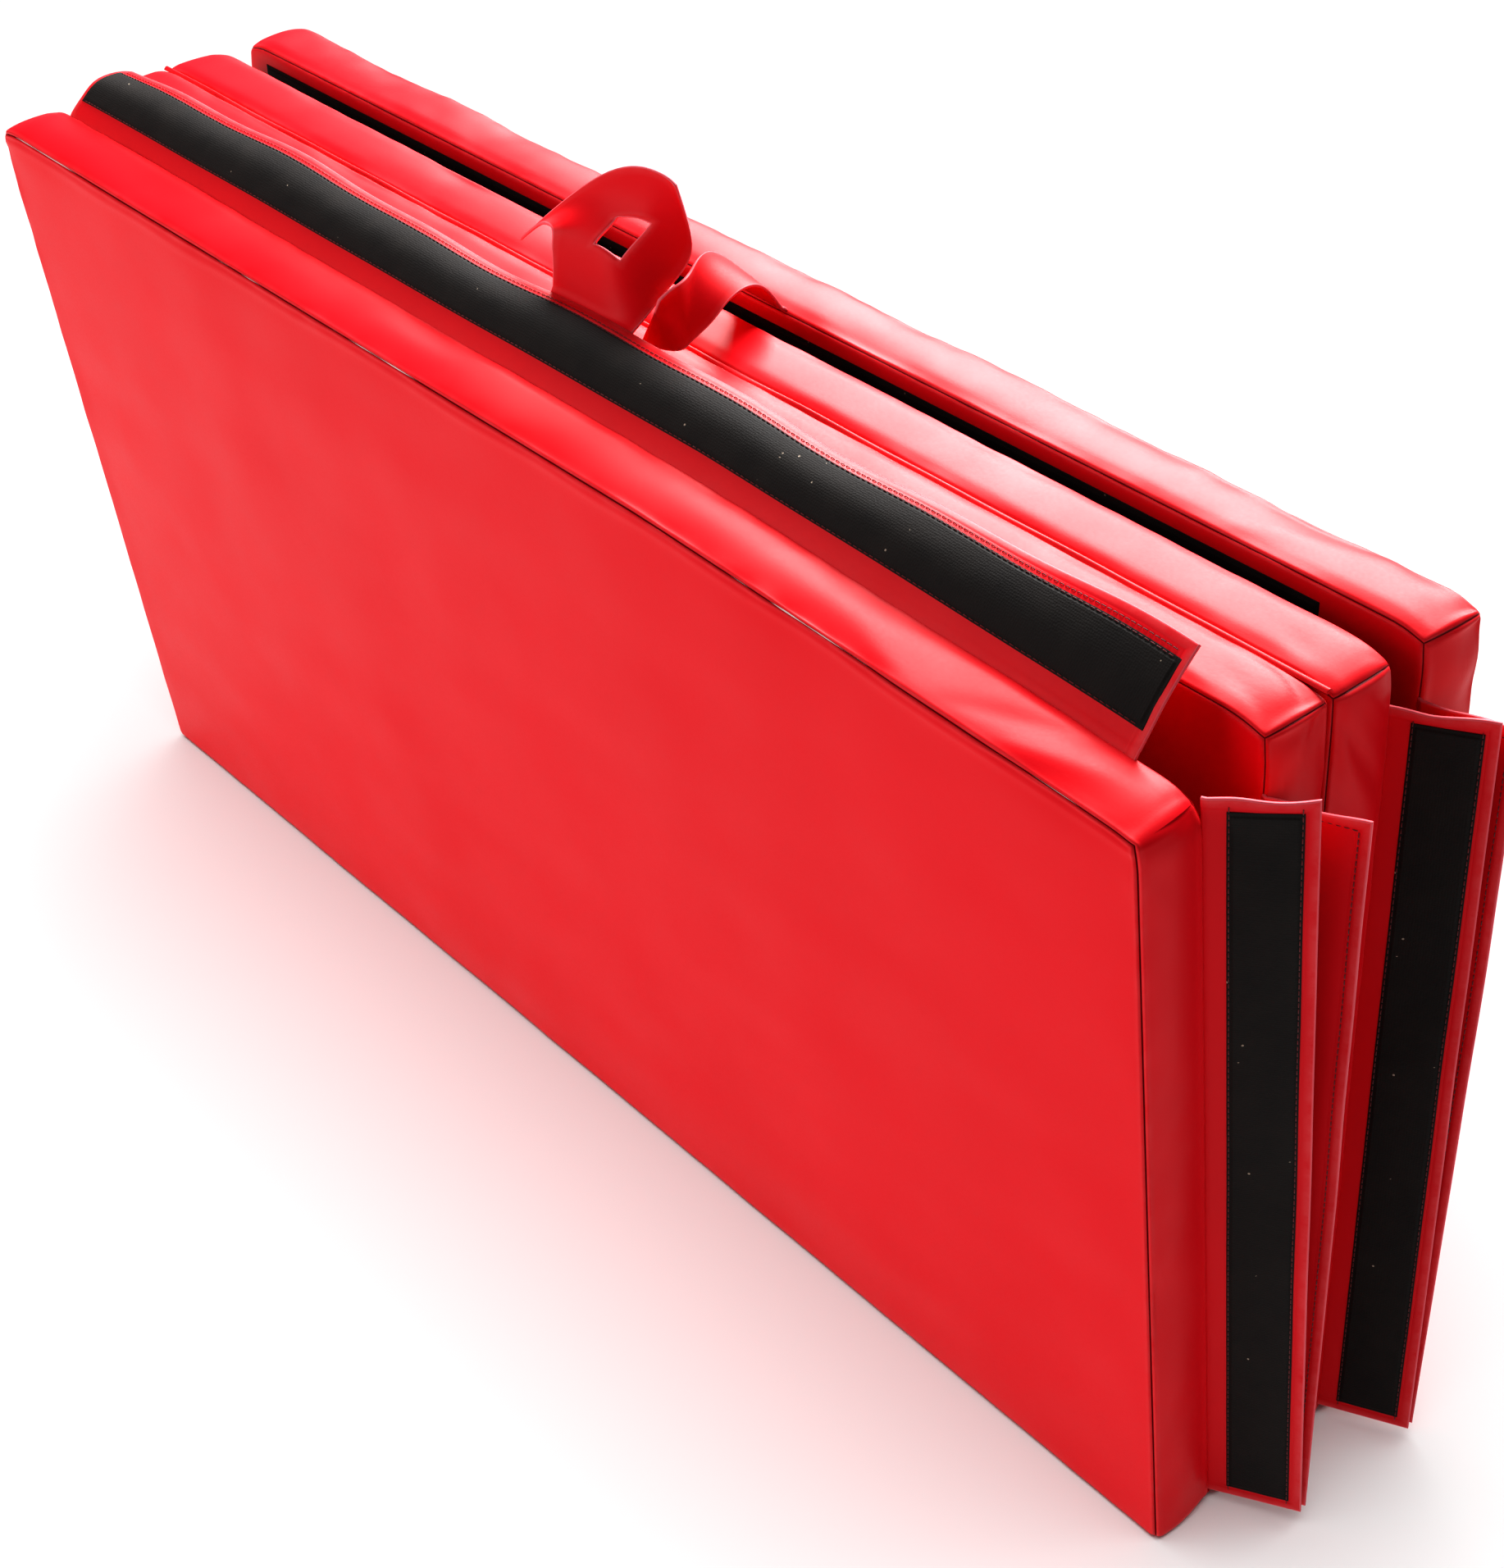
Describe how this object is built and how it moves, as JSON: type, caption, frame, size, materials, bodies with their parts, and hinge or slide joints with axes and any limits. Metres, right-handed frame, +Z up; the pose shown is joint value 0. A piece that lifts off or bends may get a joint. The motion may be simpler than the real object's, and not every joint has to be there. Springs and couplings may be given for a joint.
{
  "type": "folding gym mat",
  "caption": "Folding gym mat with foam panels in a vinyl cover, folded like an accordion, with hook and loop flaps on its edges and carrying straps.",
  "frame": {"origin": "bottom centre of the whole part's bounding box, with the mat folded and standing on its long edges", "axes": "+X along the panels towards the ends with the side flaps, +Y from the front panel to the rear panel, +Z up"},
  "size_m": [1.2708, 0.2754, 0.7225],
  "materials": {
    "cover_vinyl": "fine-grained PVC-coated fabric, satin",
    "flap_vinyl": "double-folded PVC-coated fabric, satin",
    "strap_vinyl": "double-folded PVC-coated fabric, satin",
    "core_foam": "closed-cell polyethylene foam",
    "hook_tape": "black woven tape with moulded hooks",
    "loop_tape": "black woven tape with brushed loops"
  },
  "bodies": {
    "panel_1": {"foam_core_1": "core_foam", "underside_sheet_1": "cover_vinyl", "top_sheet_1": "cover_vinyl", "wall_strip_1": "cover_vinyl", "side_loop_1": "loop_tape", "fold_12_leaf_1": "cover_vinyl"},
    "panel_2": {"foam_core_2": "core_foam", "underside_sheet_2": "cover_vinyl", "top_sheet_2": "cover_vinyl", "wall_strip_2": "cover_vinyl", "side_loop_2": "loop_tape", "fold_12_leaf_2": "cover_vinyl", "fold_23_leaf_2": "cover_vinyl"},
    "panel_3": {"foam_core_3": "core_foam", "underside_sheet_3": "cover_vinyl", "top_sheet_3": "cover_vinyl", "wall_strip_3": "cover_vinyl", "side_loop_3": "loop_tape", "fold_23_leaf_3": "cover_vinyl", "fold_34_leaf_3": "cover_vinyl"},
    "panel_4": {"foam_core_4": "core_foam", "underside_sheet_4": "cover_vinyl", "top_sheet_4": "cover_vinyl", "wall_strip_4": "cover_vinyl", "side_loop_4": "loop_tape", "fold_34_leaf_4": "cover_vinyl", "end_loop": "loop_tape"},
    "side_flap_1_body": {"side_flap_1": "flap_vinyl", "side_hook_1": "hook_tape"},
    "side_flap_2_body": {"side_flap_2": "flap_vinyl", "side_hook_2": "hook_tape"},
    "side_flap_3_body": {"side_flap_3": "flap_vinyl", "side_hook_3": "hook_tape"},
    "side_flap_4_body": {"side_flap_4": "flap_vinyl", "side_hook_4": "hook_tape"},
    "end_flap_body": {"end_flap": "flap_vinyl", "end_hook": "hook_tape", "slotted_strap_root": "strap_vinyl"},
    "slotted_strap_body": {"slotted_strap": "strap_vinyl"},
    "plain_strap_body": {"plain_strap": "strap_vinyl"}
  },
  "joints": [
    {"name": "fold_12", "type": "hinge", "parent": "panel_2", "child": "panel_1", "pos_m": [-0.02576, -0.04094, -0.00013], "axis": [1, 0, 0], "range_deg": [0, 175.7]},
    {"name": "fold_23", "type": "hinge", "parent": "panel_2", "child": "panel_3", "pos_m": [-0.02576, 0.01106, 0.61147], "axis": [1, 0, 0], "range_deg": [0, 180]},
    {"name": "fold_34", "type": "hinge", "parent": "panel_3", "child": "panel_4", "pos_m": [-0.02576, 0.06306, -0.00013], "axis": [-1, 0, 0], "range_deg": [0, 177.8]},
    {"name": "side_flap_1_hinge", "type": "hinge", "parent": "panel_1", "child": "side_flap_1_body", "pos_m": [0.58484, -0.06506, 0.30471], "axis": [0, -0.075, 0.9972], "range_deg": [-110, 0]},
    {"name": "side_flap_2_hinge", "type": "hinge", "parent": "panel_2", "child": "side_flap_2_body", "pos_m": [0.58484, -0.03974, 0.30567], "axis": [0, 0, 1], "range_deg": [0, 10]},
    {"name": "side_flap_3_hinge", "type": "hinge", "parent": "panel_3", "child": "side_flap_3_body", "pos_m": [0.58484, 0.06186, 0.30567], "axis": [0, 0, 1], "range_deg": [-70, 0]},
    {"name": "side_flap_4_hinge", "type": "hinge", "parent": "panel_4", "child": "side_flap_4_body", "pos_m": [0.58484, 0.076, 0.30539], "axis": [0, 0.0384, 0.9993], "range_deg": [0, 50]},
    {"name": "end_flap_hinge", "type": "hinge", "parent": "panel_1", "child": "end_flap_body", "pos_m": [-0.02576, -0.08778, 0.60686], "axis": [1, 0, 0], "range_deg": [0, 90]},
    {"name": "slotted_strap_bend", "type": "hinge", "parent": "end_flap_body", "child": "slotted_strap_body", "pos_m": [-0.00576, -0.03178, 0.63286], "axis": [1, 0, 0], "range_deg": [0, 75]},
    {"name": "plain_strap_bend", "type": "hinge", "parent": "panel_4", "child": "plain_strap_body", "pos_m": [0.01924, 0.08708, 0.60949], "axis": [-1, 0, 0], "range_deg": [0, 115]}
  ],
  "couplings": [
    {"joint": "fold_23", "follows": "fold_12", "ratio": 1.0245},
    {"joint": "fold_34", "follows": "fold_12", "ratio": 1.0119}
  ]
}
